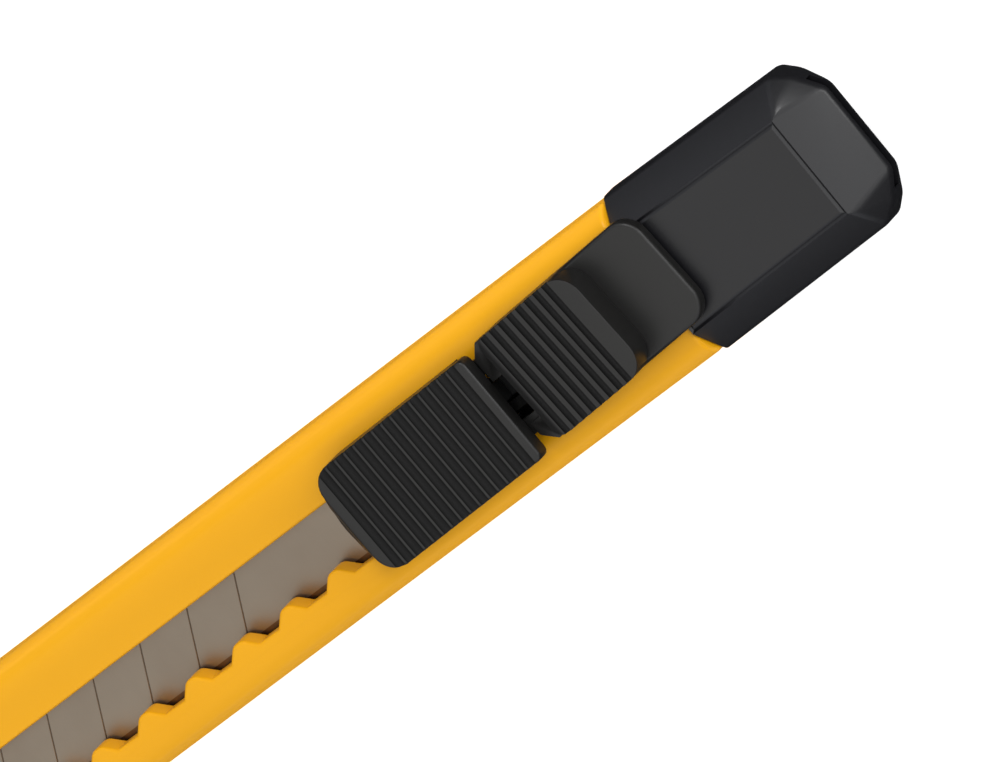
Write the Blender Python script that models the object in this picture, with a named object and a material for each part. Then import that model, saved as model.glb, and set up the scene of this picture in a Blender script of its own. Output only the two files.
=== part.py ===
"""Snap-off utility knife for 9 mm segmented blades, lying on its back.

The origin is under the middle of the knife. +X runs along the handle to the nose, +Y to the blade's
cutting edge and the toothed side of the slot, and +Z up through the slider. Units are metres.
"""

import math

import bmesh
import bpy
from mathutils import Matrix, Vector

MM = 0.001

# Overall sizes
HANDLE_LENGTH = 98.8 * MM  # from the end cap's joint to the front of the plastic
HANDLE_WIDTH = 13.3 * MM
HANDLE_THICKNESS = 7.0 * MM
CAP_LENGTH = 19.35 * MM
NOSE_LENGTH = 9.75 * MM  # steel sheath showing in front of the plastic
OVERALL_LENGTH = CAP_LENGTH + HANDLE_LENGTH + NOSE_LENGTH

# Clearances
SEAM_GAP = 0.2 * MM  # between pieces that are fixed together
RUNNING_GAP = 0.3 * MM  # between pieces that slide on each other
JOINT_GAP = 0.1 * MM  # between the casing's rear shoulder and the end cap
OVERCUT = 1.0 * MM  # how far a cutter runs past the face that it opens

# Blade: a standard 9 mm strip of 5 mm segments
BLADE_WIDTH = 9.0 * MM
BLADE_LENGTH = 80.0 * MM
BLADE_THICKNESS = 0.4 * MM
BLADE_SEGMENT = 5.0 * MM
BLADE_SCORES = 12
BLADE_ANGLE = math.radians(60)
BLADE_GRIND = 1.55 * MM  # width of the ground bevel at the cutting edge
BLADE_EDGE = 0.06 * MM  # thickness left at the cutting edge
BLADE_HOLE_RADIUS = 1.0 * MM
BLADE_HOLE_INSET = 2.8 * MM  # from the tang's end to the hole's centre
SCORE_DEPTH = 0.1 * MM
SCORE_WIDTH = 0.16 * MM
TIP_INSET = 1.9 * MM  # how far the tip sits back in the nose

# Handle section
SHOULDER_RUN = 2.2 * MM
SHOULDER_DROP = 1.75 * MM
CROWN = 0.12 * MM
SIDE_WALL = 1.7 * MM  # beside the blade's cutting edge
LIP_WALL = 1.75 * MM  # front wall over the blade
CARRIAGE_WIDTH = 6.35 * MM
TONGUE_WIDTH = 0.6 * MM  # rebate that closes the casing's seam
TONGUE_HEIGHT = 0.5 * MM
SPIGOT_LENGTH = 12.0 * MM
SPIGOT_WALL = 2.0 * MM  # how far the spigot is stepped in from the handle's faces
SPIGOT_CORE_WALL = 1.0 * MM
REAR_WALL = 1.4 * MM  # plastic between the slot's rear end and the cap's joint
NOSE_TAPER_LENGTH = 10.0 * MM
NOSE_TAPER = 0.6 * MM
NOSE_SLOPE_LENGTH = 6.0 * MM
NOSE_SLOPE = 0.6 * MM

# Slot and its detent teeth
STRAIGHT_LIP = 2.65 * MM  # how far the slot's straight side covers the blade's back
TOOTH_LIP = 2.13 * MM  # how far the teeth reach in over the cutting edge
TOOTH_HEIGHT = 1.0 * MM
TOOTH_PITCH = BLADE_SEGMENT
TOOTH_TOP = 0.85 * MM
TOOTH_FRONT_FLANK = 1.05 * MM
TOOTH_REAR_FLANK = 1.1 * MM
TOOTH_LEAD = 8.9 * MM  # from the blade's tang to the middle of a tooth's top
SLOT_DRAFT = 0.05  # how far the slot's walls lean out for each unit of height

# Slider: front pad and rear pad
CLICKS = 12
PAD_WIDTH = 9.1 * MM
PAD_REACH = 4.44 * MM  # how far the front pad stands ahead of the blade's tang
PAD_LENGTH = 16.8 * MM
PAD_HEIGHT = 2.7 * MM
PAD_EDGE_HEIGHT = 1.7 * MM  # thickness of the pad's front lip
PAD_BOW = 0.8 * MM
PAD_CORNER = 1.8 * MM
PAD_REAR_CORNER = 0.6 * MM
PAD_RIBS = 15
PAD_GAP = 1.8 * MM
RIB_PITCH = 0.97 * MM
RIB_HEIGHT = 0.4 * MM
REAR_PAD_LENGTH = 9.8 * MM
REAR_PAD_HEIGHT = 3.7 * MM
REAR_PAD_FRONT_HEIGHT = 2.6 * MM
REAR_PAD_RIBS = 7
REAR_WALL_RUN = 0.2 * MM
TAIL_LENGTH = 5.5 * MM
TAIL_THICKNESS = 0.95 * MM
TAIL_CORNER = 1.8 * MM
LOCK_TRAVEL = 1.2 * MM
RAIL_WIDTH = 1.45 * MM
RAIL_HEIGHT = 1.2 * MM
RAIL_LENGTH = 8.5 * MM
RAIL_OUTER_HALF = 3.45 * MM

# Carriage and spring
HOLDER_PLATE = 1.4 * MM
HOLDER_LENGTH = 29.5 * MM
HOLDER_FRONT = 2.5 * MM  # plate in front of the peg
PEG_CLEARANCE = 0.15 * MM
TENON_LENGTH = 10.0 * MM
TENON_HEIGHT = 1.0 * MM
TENON_SET_BACK = 1.2 * MM
LOCK_TONGUE = 0.8 * MM
LOCK_FINGER_GAP = 0.4 * MM  # between the leaf's tip and the finger while the slider is free
LOCK_FOOT_LENGTH = 4.0 * MM
LOCK_FOOT_HEIGHT = 0.4 * MM
LOCK_FOOT_HOLD = 0.5 * MM  # how far the foot reaches in under the slot's toothed side
LEAF_THICKNESS = 0.25 * MM
LEAF_HEIGHT = 1.2 * MM
LEAF_SET_BACK = 0.8 * MM  # from the tooth tops to the leaf's middle
LEAF_BUMP = 1.25 * MM
LEAF_BUMP_HALF = 1.4 * MM
LEAF_TIP = 0.7 * MM  # straight length behind the bump
LEAF_VALLEY = 4  # teeth from the tooth that sets the phase to the bump
SPRING_POST = 2.0 * MM

# Nose sheath and end cap
SHEATH_WALL = 0.4 * MM
SHEATH_HOLD = 5.6 * MM  # length held between the casing halves
CAP_PROUD = 0.27 * MM  # how far the cap stands out from the handle's sides
CAP_TOP_PROUD = 0.3 * MM
CAP_TAPER = 0.24 * MM  # how much narrower each side is at the rear corners
CAP_SIDE_BEVEL = 2.73 * MM
CAP_BEVEL_DROP = 2.3 * MM
CAP_REAR_BEVEL = 3.85 * MM
CAP_REAR_WALL = 1.4 * MM
CAP_UNDER_DROP = 2.2 * MM
CAP_CHAMFER = 3.0 * MM
CAP_CORNER_RUN = 1.5 * MM  # where each chamfer is broken: in from the rear, and in from the side
CAP_CORNER_INSET = 1.0 * MM
CAP_EDGE_RADIUS = 0.35 * MM
SLIT_WIDTH = 9.8 * MM
SLIT_HEIGHT = 0.8 * MM
SLIT_DEPTH = 5.6 * MM

# Planes that several pieces share
REAR_X = -OVERALL_LENGTH / 2
JOINT_X = REAR_X + CAP_LENGTH
PLASTIC_FRONT_X = JOINT_X + HANDLE_LENGTH
NOSE_X = OVERALL_LENGTH / 2
HALF_WIDTH = HANDLE_WIDTH / 2
ROOF = HANDLE_THICKNESS - LIP_WALL
LEDGE = ROOF - BLADE_THICKNESS - 2 * RUNNING_GAP
SEAM_HEIGHT = LEDGE + SEAM_GAP / 2
CARRIAGE_FLOOR = LEDGE - HOLDER_PLATE - RUNNING_GAP
BLADE_HIGH_Y = HALF_WIDTH - SIDE_WALL - RUNNING_GAP
BLADE_LOW_Y = BLADE_HIGH_Y - BLADE_WIDTH
BLADE_MIDDLE_Y = (BLADE_LOW_Y + BLADE_HIGH_Y) / 2
BLADE_BOTTOM = LEDGE + RUNNING_GAP
BLADE_TOP = BLADE_BOTTOM + BLADE_THICKNESS
TIP_X = NOSE_X - TIP_INSET
TANG_X = TIP_X - BLADE_LENGTH
PEG_X = TANG_X + BLADE_HOLE_INSET
SLOT_STRAIGHT_Y = BLADE_LOW_Y + STRAIGHT_LIP
TOOTH_TOP_Y = BLADE_HIGH_Y - TOOTH_LIP
TOOTH_PHASE = TANG_X + TOOTH_LEAD
PAD_Y = (SLOT_STRAIGHT_Y + TOOTH_TOP_Y) / 2
PAD_FRONT_X = TANG_X + PAD_REACH
SLOT_REAR_X = JOINT_X + REAR_WALL
TRAVEL = CLICKS * TOOTH_PITCH
SLOT_FRONT_X = PAD_FRONT_X + TRAVEL + OVERCUT
PAD_BOTTOM = HANDLE_THICKNESS + RUNNING_GAP
PAD_TOP = PAD_BOTTOM + PAD_HEIGHT
REAR_PAD_TOP = PAD_BOTTOM + REAR_PAD_HEIGHT
PAD_REAR_X = PAD_FRONT_X - PAD_LENGTH
REAR_PAD_FRONT_X = PAD_REAR_X - PAD_GAP
REAR_PAD_REAR_X = REAR_PAD_FRONT_X - REAR_PAD_LENGTH
TAIL_X = REAR_PAD_REAR_X - TAIL_LENGTH
CAP_TOP = HANDLE_THICKNESS + CAP_TOP_PROUD
TAIL_BOTTOM = CAP_TOP + RUNNING_GAP
CHANNEL_LOW_Y = BLADE_LOW_Y - RUNNING_GAP
CHANNEL_HIGH_Y = BLADE_HIGH_Y + RUNNING_GAP
LEAF_Y = TOOTH_TOP_Y - LEAF_SET_BACK
LOCK_TONGUE_Y = LEAF_Y - LEAF_THICKNESS / 2 - RUNNING_GAP - LOCK_TONGUE
KEEL_LOW_Y = SLOT_STRAIGHT_Y + RUNNING_GAP
KEEL_HIGH_Y = LOCK_TONGUE_Y - RUNNING_GAP
HOLDER_TOP = LEDGE
HOLDER_FRONT_X = PEG_X + HOLDER_FRONT
HOLDER_REAR_X = HOLDER_FRONT_X - HOLDER_LENGTH
KEEL_FRONT_X = TANG_X - 3 * RUNNING_GAP
VALLEY_SHIFT = TOOTH_TOP / 2 + TOOTH_FRONT_FLANK + (
    TOOTH_PITCH - TOOTH_TOP - TOOTH_FRONT_FLANK - TOOTH_REAR_FLANK
) / 2
BUMP_X = TOOTH_PHASE + VALLEY_SHIFT - LEAF_VALLEY * TOOTH_PITCH
LEAF_FREE_X = BUMP_X - LEAF_BUMP_HALF - LEAF_TIP
LEAF_BOTTOM = ROOF + RUNNING_GAP
LOCK_FINGER_X = LEAF_FREE_X - LOCK_FINGER_GAP


def clear_scene():
    for thing in list(bpy.data.objects):
        bpy.data.objects.remove(thing, do_unlink=True)


def new_collection(name):
    collection = bpy.data.collections.new(name)
    bpy.context.scene.collection.children.link(collection)
    return collection


def new_material(name, colour, roughness, metallic=0.0):
    material = bpy.data.materials.new(name)
    material.use_nodes = True
    shader = material.node_tree.nodes["Principled BSDF"]
    shader.inputs["Base Color"].default_value = (*colour, 1.0)
    shader.inputs["Roughness"].default_value = roughness
    shader.inputs["Metallic"].default_value = metallic
    return material


def add_object(name, shape, collection, origin):
    """An object with this bmesh, whose own origin is at the given point."""
    bmesh.ops.recalc_face_normals(shape, faces=shape.faces)
    bmesh.ops.transform(shape, matrix=Matrix.Translation(-Vector(origin)), verts=shape.verts)
    mesh = bpy.data.meshes.new(name)
    shape.to_mesh(mesh)
    shape.free()
    thing = bpy.data.objects.new(name, mesh)
    thing.location = origin
    collection.objects.link(thing)
    return thing


def add_piece(name, shape, material, frame):
    """One piece of the knife, parented to the empty that it moves with."""
    piece = add_object(name, shape, parts, frame.matrix_world.translation)
    piece.data.materials.append(material)
    piece.parent = frame
    piece.location = (0, 0, 0)
    return piece


def add_tool(name, shape):
    """A solid that only cuts or extends a piece."""
    tool = add_object(name, shape, cutters, (0, 0, 0))
    tool.hide_render = True
    tool.display_type = "WIRE"
    return tool


def combine(piece, tool, operation):
    modifier = piece.modifiers.new(tool.name, "BOOLEAN")
    modifier.object = tool
    modifier.operation = operation
    modifier.solver = "EXACT"


def cut(piece, tool):
    combine(piece, tool, "DIFFERENCE")


def join(piece, tool):
    combine(piece, tool, "UNION")


def add_frame(name, location):
    frame = bpy.data.objects.new(name, None)
    frame.location = location
    frame.empty_display_size = 5 * MM
    parts.objects.link(frame)
    return frame


def box(low, high):
    shape = bmesh.new()
    bmesh.ops.create_cube(shape, size=1)
    middle = (Vector(low) + Vector(high)) / 2
    size = Vector(high) - Vector(low)
    bmesh.ops.scale(shape, vec=size, verts=shape.verts)
    bmesh.ops.translate(shape, vec=middle, verts=shape.verts)
    return shape


def cylinder(centre, radius, low, high, segments=32):
    shape = bmesh.new()
    bmesh.ops.create_cone(
        shape, cap_ends=True, segments=segments, radius1=radius, radius2=radius, depth=high - low
    )
    bmesh.ops.translate(shape, vec=(centre[0], centre[1], (low + high) / 2), verts=shape.verts)
    return shape


def prism(outline, low, high, along="Z"):
    """A flat outline pulled from low to high along an axis. Its points give the other two axes, in order."""
    places = {
        "X": lambda a, b: (low, a, b),
        "Y": lambda a, b: (a, low, b),
        "Z": lambda a, b: (a, b, low),
    }
    step = {"X": (high - low, 0, 0), "Y": (0, high - low, 0), "Z": (0, 0, high - low)}
    shape = bmesh.new()
    face = shape.faces.new([shape.verts.new(places[along](a, b)) for a, b in outline])
    pulled = bmesh.ops.extrude_face_region(shape, geom=[face])["geom"]
    moved = [v for v in pulled if isinstance(v, bmesh.types.BMVert)]
    bmesh.ops.translate(shape, vec=step[along], verts=moved)
    return shape


def trim(shape, point, normal):
    """Removes what lies on the normal's side of a plane, and closes the cut."""
    geometry = shape.verts[:] + shape.edges[:] + shape.faces[:]
    bmesh.ops.bisect_plane(
        shape, geom=geometry, dist=1e-7, plane_co=point, plane_no=normal, clear_outer=True
    )
    open_edges = [edge for edge in shape.edges if edge.is_boundary]
    bmesh.ops.holes_fill(shape, edges=open_edges)


def arc(centre, radii, start, end, steps):
    """Points on an ellipse from one angle to another, in degrees, both ends included."""
    angles = [math.radians(start + (end - start) * i / steps) for i in range(steps + 1)]
    return [(centre[0] + radii[0] * math.cos(a), centre[1] + radii[1] * math.sin(a)) for a in angles]


def rounded_outline(x_low, x_high, y_low, y_high, rear_corner, front_corner, bow=0.0):
    """A plan with rounded corners. Its front edge bows forwards by the given amount, within x_high."""
    front = x_high - bow
    points = arc((x_low + rear_corner, y_high - rear_corner), (rear_corner,) * 2, 180, 90, 6)
    points += arc((front - front_corner, y_high - front_corner), (front_corner,) * 2, 90, 0, 6)
    if bow:
        half = (y_high - y_low) / 2 - front_corner
        middle = (y_high + y_low) / 2
        for i in range(1, 8):
            share = 1 - i / 4
            points.append((front + bow * (1 - share**2), middle + half * share))
    points += arc((front - front_corner, y_low + front_corner), (front_corner,) * 2, 0, -90, 6)
    points += arc((x_low + rear_corner, y_low + rear_corner), (rear_corner,) * 2, -90, -180, 6)
    return points


def handle_section():
    """The casing's section: flat back, slightly crowned front, and elliptical shoulders."""
    flat = HALF_WIDTH - SHOULDER_RUN
    shoulder = HANDLE_THICKNESS - CROWN
    radii = (SHOULDER_RUN, SHOULDER_DROP)
    crown = []
    for i in range(1, 6):
        across = flat * (1 - i / 3)
        crown.append((across, shoulder + CROWN * (1 - (across / flat) ** 2)))
    points = arc((flat, SHOULDER_DROP), radii, -90, 0, 6)
    points += arc((flat, shoulder - SHOULDER_DROP), radii, 0, 90, 6)
    points += crown
    points += arc((-flat, shoulder - SHOULDER_DROP), radii, 90, 180, 6)
    points += arc((-flat, SHOULDER_DROP), radii, 180, 270, 6)
    return points


def handle_form(normal):
    """Half of the closed casing, with its spigot. The normal points to the half that is left out."""
    shape = prism(handle_section(), JOINT_X + JOINT_GAP, PLASTIC_FRONT_X, along="X")
    bmesh.ops.recalc_face_normals(shape, faces=shape.faces)
    rear = [face for face in shape.faces if face.normal.x < -0.99]
    bmesh.ops.inset_region(shape, faces=rear, thickness=SPIGOT_WALL, use_even_offset=True)
    spigot = bmesh.ops.extrude_face_region(shape, geom=rear)["geom"]
    bmesh.ops.delete(shape, geom=rear, context="FACES")
    moved = [v for v in spigot if isinstance(v, bmesh.types.BMVert)]
    bmesh.ops.translate(shape, vec=(-SPIGOT_LENGTH, 0, 0), verts=moved)
    bmesh.ops.recalc_face_normals(shape, faces=shape.faces)
    front_corner = Vector((PLASTIC_FRONT_X, NOSE_TAPER - HALF_WIDTH, 0))
    trim(shape, front_corner, Vector((NOSE_TAPER, -NOSE_TAPER_LENGTH, 0)))
    front_top = Vector((PLASTIC_FRONT_X, 0, HANDLE_THICKNESS - NOSE_SLOPE))
    trim(shape, front_top, Vector((NOSE_SLOPE, 0, NOSE_SLOPE_LENGTH)))
    seam = SEAM_HEIGHT + math.copysign(SEAM_GAP / 2, -normal)
    trim(shape, Vector((0, 0, seam)), Vector((0, 0, normal)))
    return shape


def slot_outline(widen):
    """The slot's plan: one straight side and one side with a tooth at each click. widen moves every side out."""
    high = TOOTH_TOP_Y + TOOTH_HEIGHT
    rear, front = SLOT_REAR_X - widen, SLOT_FRONT_X + widen
    points = [(front, SLOT_STRAIGHT_Y - widen), (rear, SLOT_STRAIGHT_Y - widen), (rear, high + widen)]
    lean = widen * math.tan(math.radians(22.5))  # an offset corner between a flat and a 45 degree flank
    first = math.ceil((SLOT_REAR_X + TOOTH_PITCH - TOOTH_PHASE) / TOOTH_PITCH)
    last = math.floor((SLOT_FRONT_X - TOOTH_PITCH / 2 - TOOTH_PHASE) / TOOTH_PITCH)
    for tooth in range(first, last + 1):
        centre = TOOTH_PHASE + tooth * TOOTH_PITCH
        top_rear, top_front = centre - TOOTH_TOP / 2, centre + TOOTH_TOP / 2
        points.append((top_rear - TOOTH_REAR_FLANK + lean, high + widen))
        points.append((top_rear + lean, TOOTH_TOP_Y + widen))
        points.append((top_front - lean, TOOTH_TOP_Y + widen))
        points.append((top_front + TOOTH_FRONT_FLANK - lean, high + widen))
    return points + [(front, high + widen)]


def slot_cutter():
    """The slot's space, between its plan at the bottom and a wider one above the casing."""
    low, high = ROOF - RUNNING_GAP / 2, HANDLE_THICKNESS + RUNNING_GAP
    shape = bmesh.new()
    rings = []
    for level in (low, high):
        plan = slot_outline(max(0.0, level - ROOF) * SLOT_DRAFT)
        rings.append([shape.verts.new((x, y, level)) for x, y in plan])
    shape.faces.new(rings[0])
    shape.faces.new(rings[1])
    for ring in rings:
        for i, vert in enumerate(ring):
            if not shape.edges.get((vert, ring[i - 1])):
                shape.edges.new((vert, ring[i - 1]))
    bmesh.ops.bridge_loops(shape, edges=[edge for edge in shape.edges if edge.is_boundary])
    return shape


def sheath_box(gap):
    """The low and high corners of the sheath's outside in the handle, grown by a gap."""
    low_y = CHANNEL_LOW_Y - SHEATH_WALL - gap
    high_y = CHANNEL_HIGH_Y + SHEATH_WALL + gap
    low = (PLASTIC_FRONT_X - SHEATH_HOLD - gap, low_y, LEDGE - SHEATH_WALL - gap)
    return low, (NOSE_X, high_y, ROOF + SHEATH_WALL + gap)


def make_casing():
    front = add_piece("front_shell", handle_form(-1), yellow_abs, handle)
    back = add_piece("back_shell", handle_form(1), yellow_abs, handle)
    channel_end = PLASTIC_FRONT_X + OVERCUT
    low, high = (SLOT_REAR_X, CHANNEL_LOW_Y, LEDGE), (channel_end, CHANNEL_HIGH_Y, ROOF)
    cut(front, add_tool("blade_channel", box(low, high)))
    tongue_end = PLASTIC_FRONT_X - SHEATH_HOLD - OVERCUT
    reach = TONGUE_WIDTH + SEAM_GAP
    low = (SLOT_REAR_X - reach, CHANNEL_LOW_Y - reach, SEAM_HEIGHT - OVERCUT)
    high = (tongue_end + SEAM_GAP, CHANNEL_HIGH_Y + reach, SEAM_HEIGHT + TONGUE_HEIGHT + SEAM_GAP / 2)
    cut(front, add_tool("rebate", box(low, high)))
    cut(front, add_tool("slot", slot_cutter()))
    low = (SLOT_REAR_X - TONGUE_WIDTH, CHANNEL_LOW_Y - TONGUE_WIDTH, SEAM_HEIGHT - OVERCUT)
    high = (tongue_end, CHANNEL_HIGH_Y + TONGUE_WIDTH, SEAM_HEIGHT + TONGUE_HEIGHT - SEAM_GAP / 2)
    join(back, add_tool("tongue", box(low, high)))
    low, high = (SLOT_REAR_X, CHANNEL_LOW_Y, LEDGE), (channel_end, CHANNEL_HIGH_Y, ROOF)
    cut(back, add_tool("tongue_inside", box(low, high)))
    half = CARRIAGE_WIDTH / 2 + RUNNING_GAP
    low = (SLOT_REAR_X, BLADE_MIDDLE_Y - half, CARRIAGE_FLOOR)
    high = (SLOT_FRONT_X + RUNNING_GAP, BLADE_MIDDLE_Y + half, ROOF)
    cut(back, add_tool("carriage_channel", box(low, high)))
    core = HALF_WIDTH - SPIGOT_WALL - SPIGOT_CORE_WALL
    low = (JOINT_X - SPIGOT_LENGTH - OVERCUT, -core, SPIGOT_WALL + SPIGOT_CORE_WALL)
    high = (JOINT_X - SPIGOT_CORE_WALL, core, SEAM_HEIGHT + OVERCUT)
    cut(back, add_tool("spigot_core", box(low, high)))
    low, high = sheath_box(SEAM_GAP)
    pocket = add_tool("sheath_pocket", box(low, (channel_end, *high[1:])))
    cut(front, pocket)
    cut(back, pocket)


def make_sheath():
    """A steel tube folded round the blade, with its front corners cut back like the blade's tip."""
    low, high = sheath_box(0)
    shape = box(low, high)
    slant = Vector((math.sin(BLADE_ANGLE), -math.cos(BLADE_ANGLE), 0))
    trim(shape, Vector((NOSE_X, high[1] - BLADE_GRIND, 0)), slant)
    sheath = add_piece("nose_sheath", shape, stainless, handle)
    inside = box(
        (low[0] - OVERCUT, CHANNEL_LOW_Y, LEDGE), (NOSE_X + OVERCUT, CHANNEL_HIGH_Y, ROOF)
    )
    cut(sheath, add_tool("sheath_inside", inside))


def blade_line_x(place, y):
    """Where a slanted line that is place behind the tip lies at this height across the blade."""
    return TIP_X - place - (BLADE_HIGH_Y - y) / math.tan(BLADE_ANGLE)


def make_blade():
    grind_y = BLADE_HIGH_Y - BLADE_GRIND
    middle = (BLADE_BOTTOM + BLADE_TOP) / 2
    section = [
        (BLADE_LOW_Y, BLADE_BOTTOM),
        (grind_y, BLADE_BOTTOM),
        (BLADE_HIGH_Y, middle - BLADE_EDGE / 2),
        (BLADE_HIGH_Y, middle + BLADE_EDGE / 2),
        (grind_y, BLADE_TOP),
        (BLADE_LOW_Y, BLADE_TOP),
    ]
    shape = prism(section, TANG_X, TIP_X, along="X")
    slant = Vector((math.sin(BLADE_ANGLE), -math.cos(BLADE_ANGLE), 0))
    trim(shape, Vector((TIP_X, BLADE_HIGH_Y, 0)), slant)
    blade = add_piece("snap_off_blade", shape, blade_steel, slider)
    hole = cylinder((PEG_X, BLADE_MIDDLE_Y), BLADE_HOLE_RADIUS, BLADE_BOTTOM - OVERCUT, BLADE_TOP + OVERCUT)
    cut(blade, add_tool("blade_hole", hole))
    half = SCORE_WIDTH / 2 / math.sin(BLADE_ANGLE)
    rise = SCORE_DEPTH * 2
    for score in range(1, BLADE_SCORES + 1):
        groove = bmesh.new()
        ends = []
        for y in (BLADE_LOW_Y - OVERCUT, BLADE_HIGH_Y + OVERCUT):
            x = blade_line_x(score * BLADE_SEGMENT, y)
            corners = ((-2 * half, rise - SCORE_DEPTH), (2 * half, rise - SCORE_DEPTH), (0, -SCORE_DEPTH))
            ends.append([groove.verts.new((x + a, y, BLADE_TOP + b)) for a, b in corners])
        for end in ends:
            groove.faces.new(end)
        bmesh.ops.bridge_loops(groove, edges=groove.edges)
        cut(blade, add_tool(f"score_{score}", groove))


def make_holder():
    """The carriage: a plate under the blade, a keel up through the slot and a post that grips the spring."""
    half = CARRIAGE_WIDTH / 2
    plate_low = HOLDER_TOP - HOLDER_PLATE
    shape = box(
        (HOLDER_REAR_X, BLADE_MIDDLE_Y - half, plate_low),
        (HOLDER_FRONT_X, BLADE_MIDDLE_Y + half, HOLDER_TOP),
    )
    holder = add_piece("blade_holder", shape, carriage_pom, slider)
    keel_top = HANDLE_THICKNESS
    keel = box((HOLDER_REAR_X, KEEL_LOW_Y, plate_low), (KEEL_FRONT_X, KEEL_HIGH_Y, keel_top))
    join(holder, add_tool("keel", keel))
    tenon_front = KEEL_FRONT_X - TENON_SET_BACK
    tenon = box(
        (tenon_front - TENON_LENGTH, KEEL_LOW_Y, keel_top - OVERCUT),
        (tenon_front, KEEL_HIGH_Y, PAD_BOTTOM + TENON_HEIGHT),
    )
    join(holder, add_tool("tenon", tenon))
    post_high = TOOTH_TOP_Y - RUNNING_GAP
    post = box(
        (KEEL_FRONT_X - SPRING_POST, KEEL_HIGH_Y - RUNNING_GAP, plate_low),
        (KEEL_FRONT_X, post_high, LEAF_BOTTOM + LEAF_HEIGHT),
    )
    join(holder, add_tool("spring_post", post))
    reach = LEAF_THICKNESS / 2 + SEAM_GAP
    slit = box(
        (KEEL_FRONT_X - SPRING_POST - OVERCUT, LEAF_Y - reach, LEAF_BOTTOM - SEAM_GAP),
        (KEEL_FRONT_X + OVERCUT, LEAF_Y + reach, PAD_BOTTOM),
    )
    cut(holder, add_tool("spring_slit", slit))
    bore = cylinder((PEG_X, BLADE_MIDDLE_Y), BLADE_HOLE_RADIUS, plate_low - OVERCUT, HOLDER_TOP + OVERCUT)
    cut(holder, add_tool("peg_bore", bore))
    peg_radius = BLADE_HOLE_RADIUS - PEG_CLEARANCE
    peg = cylinder((PEG_X, BLADE_MIDDLE_Y), peg_radius, plate_low, BLADE_TOP + PEG_CLEARANCE)
    add_piece("blade_peg", peg, stainless, slider)


def make_spring():
    """A leaf held at its front end, with a bump that drops into the valleys between the teeth."""
    half = LEAF_THICKNESS / 2
    front = KEEL_FRONT_X - RUNNING_GAP
    line = [(front, LEAF_Y), (BUMP_X + LEAF_BUMP_HALF, LEAF_Y)]
    for i in range(1, 8):
        share = i / 4 - 1
        rise = LEAF_BUMP * math.cos(share * math.pi / 2) ** 2
        line.append((BUMP_X - share * LEAF_BUMP_HALF, LEAF_Y + rise))
    line += [(BUMP_X - LEAF_BUMP_HALF, LEAF_Y), (LEAF_FREE_X, LEAF_Y)]
    outline = [(x, y - half) for x, y in line] + [(x, y + half) for x, y in reversed(line)]
    shape = prism(outline, LEAF_BOTTOM, LEAF_BOTTOM + LEAF_HEIGHT)
    add_piece("detent_spring", shape, spring_steel, slider)


def ribs(first, count, low, high):
    """A row of ridges in a side view, from the first one's front foot back."""
    points = []
    for rib in range(count):
        foot = first - rib * RIB_PITCH
        points.append((foot, low(foot)))
        points.append((foot - RIB_PITCH * 0.3, high(foot)))
        points.append((foot - RIB_PITCH * 0.7, high(foot)))
    points.append((first - count * RIB_PITCH, low(first - count * RIB_PITCH)))
    return points


def make_thumb_pad():
    """The front pad: a block with a bowed front edge and transverse ribs, and two rails that run back."""
    low_y, high_y = PAD_Y - PAD_WIDTH / 2, PAD_Y + PAD_WIDTH / 2
    plan = rounded_outline(
        PAD_REAR_X, PAD_FRONT_X, low_y, high_y, PAD_REAR_CORNER, PAD_CORNER, PAD_BOW
    )
    shape = prism(plan, PAD_BOTTOM, PAD_TOP)
    pad = add_piece("thumb_pad", shape, slider_abs, slider)
    first = PAD_FRONT_X - (PAD_LENGTH - PAD_RIBS * RIB_PITCH) / 2
    side = [(PAD_FRONT_X + OVERCUT, PAD_BOTTOM - OVERCUT), (PAD_FRONT_X + OVERCUT, PAD_BOTTOM + PAD_EDGE_HEIGHT)]
    side += ribs(first, PAD_RIBS, lambda x: PAD_TOP - RIB_HEIGHT, lambda x: PAD_TOP)
    side += [(PAD_REAR_X - OVERCUT, PAD_TOP - RIB_HEIGHT), (PAD_REAR_X - OVERCUT, PAD_BOTTOM - OVERCUT)]
    profile = add_tool("thumb_pad_side", prism(side, low_y - OVERCUT, high_y + OVERCUT, along="Y"))
    combine(pad, profile, "INTERSECT")
    for side_sign, name in ((-1, "left_rail"), (1, "right_rail")):
        outer = PAD_Y + side_sign * RAIL_OUTER_HALF
        inner = outer - side_sign * RAIL_WIDTH
        rail = box(
            (PAD_REAR_X - RAIL_LENGTH, min(outer, inner), PAD_BOTTOM),
            (PAD_REAR_X + OVERCUT, max(outer, inner), PAD_BOTTOM + RAIL_HEIGHT),
        )
        join(pad, add_tool(name, rail))
    front = KEEL_FRONT_X - TENON_SET_BACK + SEAM_GAP
    mortise = box(
        (front - TENON_LENGTH - 2 * SEAM_GAP, KEEL_LOW_Y - SEAM_GAP, PAD_BOTTOM - OVERCUT),
        (front, KEEL_HIGH_Y + SEAM_GAP, PAD_BOTTOM + TENON_HEIGHT + SEAM_GAP),
    )
    cut(pad, add_tool("mortise", mortise))


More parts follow.
